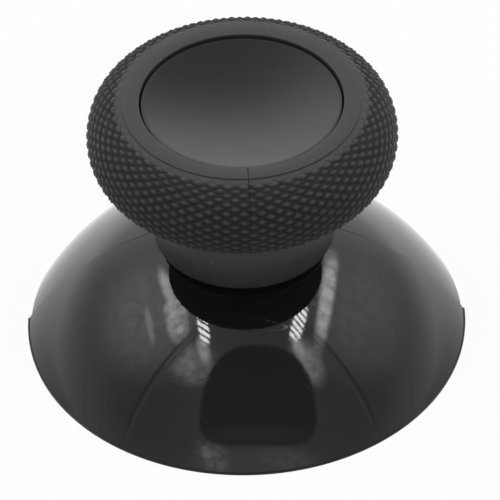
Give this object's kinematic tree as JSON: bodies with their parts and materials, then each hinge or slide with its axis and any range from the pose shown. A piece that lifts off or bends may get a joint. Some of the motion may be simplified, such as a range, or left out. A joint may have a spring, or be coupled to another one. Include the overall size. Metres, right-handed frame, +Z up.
{
  "type": "thumbstick cap",
  "caption": "Push-on cap for a controller's analogue stick: glossy domed skirt, short neck, and a round head with a knurled soft grip ring and a shallow matte thumb dish.",
  "frame": {"origin": "on the stick's axis, in the plane of the rim's flat underside", "axes": "+Z up along the stick's axis; the socket's flats face +Y and -Y"},
  "size_m": [0.025, 0.025, 0.0165],
  "materials": {
    "hard_shell": "smooth glossy black plastic; matte and finely turned in the dish on top",
    "soft_grip": "matte black soft plastic with small knurled diamonds"
  },
  "bodies": {
    "root": {"cap_body": "hard_shell", "grip_ring": "soft_grip"}
  },
  "joints": []
}
